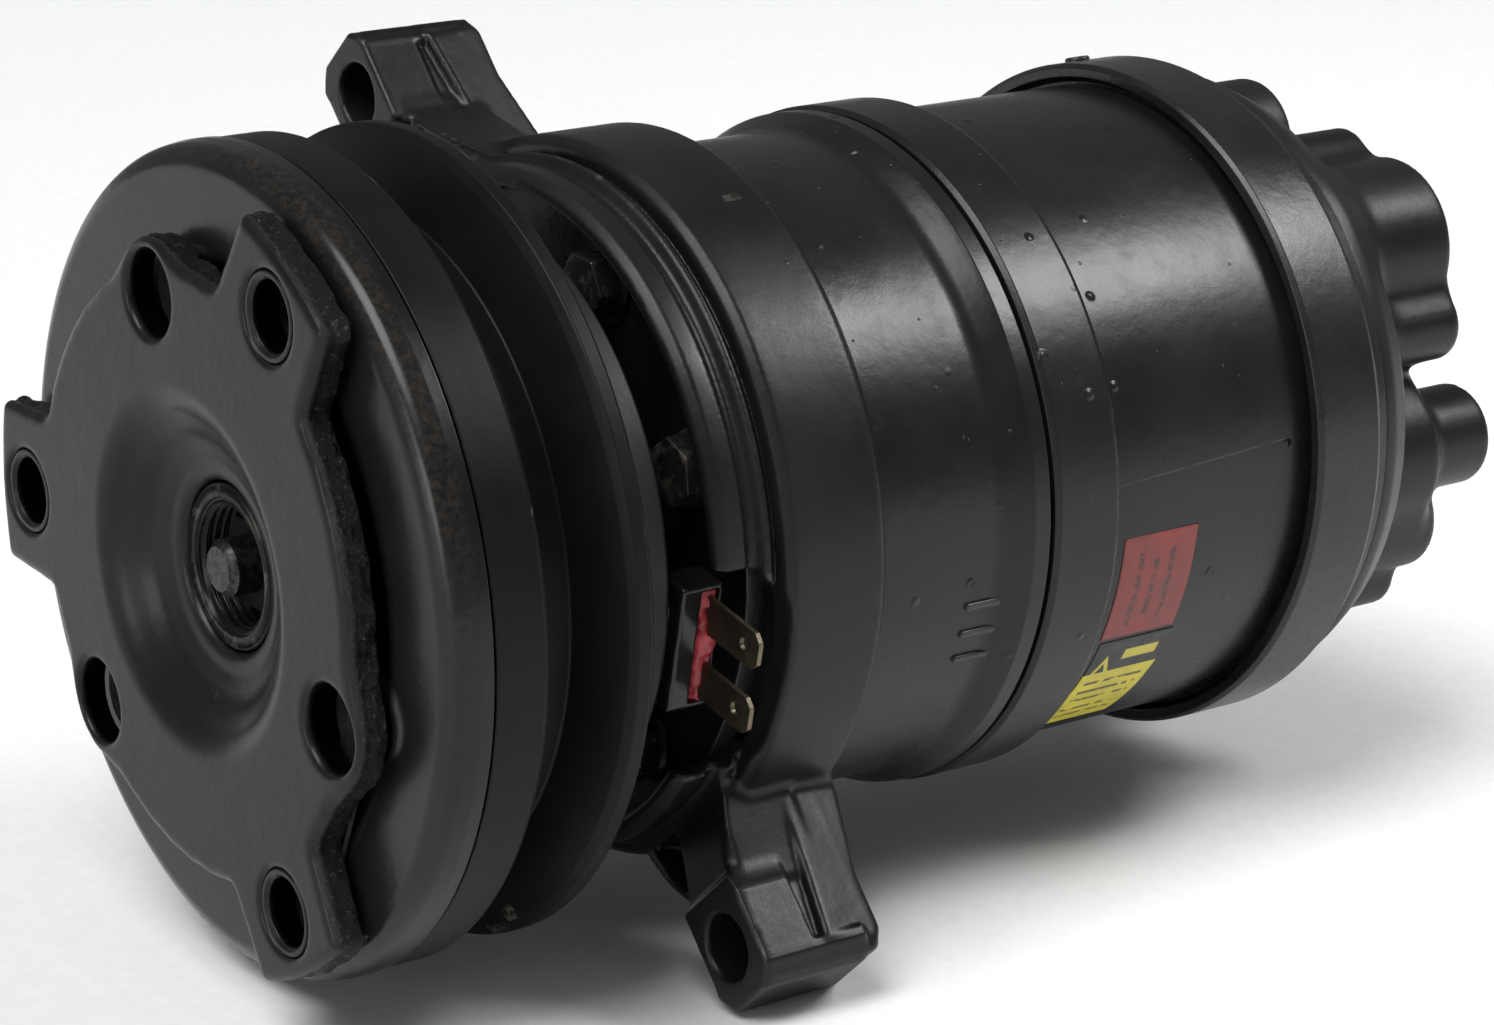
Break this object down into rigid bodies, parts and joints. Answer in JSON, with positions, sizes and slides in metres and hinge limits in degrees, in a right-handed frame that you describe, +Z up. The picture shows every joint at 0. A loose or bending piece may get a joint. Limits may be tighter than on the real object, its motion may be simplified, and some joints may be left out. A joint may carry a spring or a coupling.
{
  "type": "automotive air-conditioning compressor",
  "caption": "Swash-plate car air-conditioning compressor: black cylindrical housing with mounting ears, grooved magnetic clutch pulley with lobed drive plate, and ported rear head.",
  "frame": {"origin": "on the shaft axis, in the plane of the front faces of the two mounting ears", "axes": "+Y along the shaft from the clutch to the rear head, +Z up"},
  "size_m": [0.134, 0.2397, 0.1422],
  "materials": {
    "black_paint": "satin",
    "machined_aluminium": "satin",
    "bright_steel": "satin",
    "ground_steel": "polished",
    "spring_steel": "satin",
    "zinc_bolt": "matte",
    "hub_steel": "matte",
    "rubber_seal": "matte",
    "gasket_fibre": "matte",
    "seal_ceramic": "polished",
    "copper_winding": "gloss",
    "connector_plastic": "satin",
    "sealant": "satin",
    "terminal_brass": "satin",
    "red_print": "satin",
    "yellow_print": "satin"
  },
  "bodies": {
    "housing": {"front_head": "black_paint", "front_cylinder": "black_paint", "rear_cylinder": "black_paint", "rear_head": "black_paint", "relief_valve": "zinc_bolt", "through_bolts": "zinc_bolt", "body_orings": "rubber_seal", "head_gaskets": "gasket_fibre", "valve_plates": "ground_steel", "suction_reeds": "spring_steel", "discharge_reeds": "spring_steel", "locating_pins": "bright_steel", "red_label": "red_print", "yellow_label": "yellow_print", "thrust_needles": "ground_steel", "thrust_cages": "bright_steel", "thrust_races_fixed": "ground_steel", "shaft_bearing_shells": "ground_steel", "shaft_bearing_rollers": "ground_steel", "seal_seat": "seal_ceramic", "seal_seat_oring": "rubber_seal", "seal_snap_ring": "spring_steel", "bearing_inner_race": "ground_steel", "bearing_snap_ring": "spring_steel", "coil_housing": "black_paint", "coil_winding": "copper_winding", "terminal_block": "connector_plastic", "terminal_sealant": "sealant", "terminal_blades": "terminal_brass"},
    "pulley": {"pulley": "black_paint", "bearing_outer_race": "ground_steel", "bearing_balls": "ground_steel"},
    "shaft": {"shaft": "ground_steel", "shaft_key": "bright_steel", "swash_plate": "ground_steel", "thrust_races_moving": "ground_steel", "shaft_seal": "rubber_seal", "clutch_hub": "hub_steel", "driver_plate": "black_paint", "plate_rivets": "black_paint", "leaf_springs": "spring_steel", "shaft_nut": "zinc_bolt"},
    "armature": {"armature": "black_paint", "armature_rivets": "zinc_bolt"},
    "needle_1": {"thrust_needle_1": "ground_steel"},
    "ball_1": {"front_ball_1": "ground_steel"},
    "piston_1": {"piston_1": "machined_aluminium"},
    "shoes_1": {"shoes_1": "bright_steel", "rear_ball_1": "ground_steel"},
    "needle_2": {"thrust_needle_2": "ground_steel"},
    "ball_2": {"front_ball_2": "ground_steel"},
    "piston_2": {"piston_2": "machined_aluminium"},
    "shoes_2": {"shoes_2": "bright_steel", "rear_ball_2": "ground_steel"},
    "needle_3": {"thrust_needle_3": "ground_steel"},
    "ball_3": {"front_ball_3": "ground_steel"},
    "piston_3": {"piston_3": "machined_aluminium"},
    "shoes_3": {"shoes_3": "bright_steel", "rear_ball_3": "ground_steel"}
  },
  "joints": [
    {"name": "pulley_spin", "type": "hinge", "parent": "housing", "child": "pulley", "pos_m": [0, 0, 0], "axis": [0, 1, 0], "continuous": true},
    {"name": "shaft_spin", "type": "hinge", "parent": "housing", "child": "shaft", "pos_m": [0, 0, 0], "axis": [0, 1, 0], "continuous": true},
    {"name": "armature_engage", "type": "slide", "parent": "shaft", "child": "armature", "axis": [0, 1, 0], "range_m": [0, 0.00045], "stiffness_N_per_m": 4000},
    {"name": "needle_1_roll", "type": "hinge", "parent": "housing", "child": "needle_1", "pos_m": [-0.00776, 0.05979, 0.03001], "axis": [-0.2504, 0, 0.9681], "continuous": true},
    {"name": "ball_1_roll", "type": "hinge", "parent": "needle_1", "child": "ball_1", "pos_m": [-0.00917, 0.0654, 0.02965], "axis": [-0.2504, 0, 0.9681], "continuous": true},
    {"name": "piston_1_stroke", "type": "hinge", "parent": "ball_1", "child": "piston_1", "pos_m": [-0.00776, 0.07101, 0.03001], "axis": [-0.2504, 0, 0.9681], "continuous": true},
    {"name": "shoes_1_follow", "type": "hinge", "parent": "piston_1", "child": "shoes_1", "pos_m": [-0.00776, 0, 0.03001], "axis": [0, 1, 0], "continuous": true},
    {"name": "needle_2_roll", "type": "hinge", "parent": "housing", "child": "needle_2", "pos_m": [0.02987, 0.05979, -0.00828], "axis": [0.9636, 0, -0.2672], "continuous": true},
    {"name": "ball_2_roll", "type": "hinge", "parent": "needle_2", "child": "ball_2", "pos_m": [0.02838, 0.05824, -0.01367], "axis": [0.9636, 0, -0.2672], "continuous": true},
    {"name": "piston_2_stroke", "type": "hinge", "parent": "ball_2", "child": "piston_2", "pos_m": [0.02987, 0.05669, -0.00828], "axis": [0.9636, 0, -0.2672], "continuous": true},
    {"name": "shoes_2_follow", "type": "hinge", "parent": "piston_2", "child": "shoes_2", "pos_m": [0.02987, 0, -0.00828], "axis": [0, 1, 0], "continuous": true},
    {"name": "needle_3_roll", "type": "hinge", "parent": "housing", "child": "needle_3", "pos_m": [-0.02211, 0.05979, -0.02173], "axis": [-0.7133, 0, -0.7009], "continuous": true},
    {"name": "ball_3_roll", "type": "hinge", "parent": "needle_3", "child": "ball_3", "pos_m": [-0.01921, 0.05573, -0.02468], "axis": [-0.7133, 0, -0.7009], "continuous": true},
    {"name": "piston_3_stroke", "type": "hinge", "parent": "ball_3", "child": "piston_3", "pos_m": [-0.02211, 0.05166, -0.02173], "axis": [-0.7133, 0, -0.7009], "continuous": true},
    {"name": "shoes_3_follow", "type": "hinge", "parent": "piston_3", "child": "shoes_3", "pos_m": [-0.02211, 0, -0.02173], "axis": [0, 1, 0], "continuous": true}
  ],
  "couplings": [
    {"joint": "needle_1_roll", "follows": "shaft_spin", "ratio": 1},
    {"joint": "ball_1_roll", "follows": "shaft_spin", "ratio": -2},
    {"joint": "piston_1_stroke", "follows": "shaft_spin", "ratio": 1},
    {"joint": "shoes_1_follow", "follows": "shaft_spin", "ratio": 1},
    {"joint": "needle_2_roll", "follows": "shaft_spin", "ratio": 1},
    {"joint": "ball_2_roll", "follows": "shaft_spin", "ratio": -2},
    {"joint": "piston_2_stroke", "follows": "shaft_spin", "ratio": 1},
    {"joint": "shoes_2_follow", "follows": "shaft_spin", "ratio": 1},
    {"joint": "needle_3_roll", "follows": "shaft_spin", "ratio": 1},
    {"joint": "ball_3_roll", "follows": "shaft_spin", "ratio": -2},
    {"joint": "piston_3_stroke", "follows": "shaft_spin", "ratio": 1},
    {"joint": "shoes_3_follow", "follows": "shaft_spin", "ratio": 1}
  ]
}
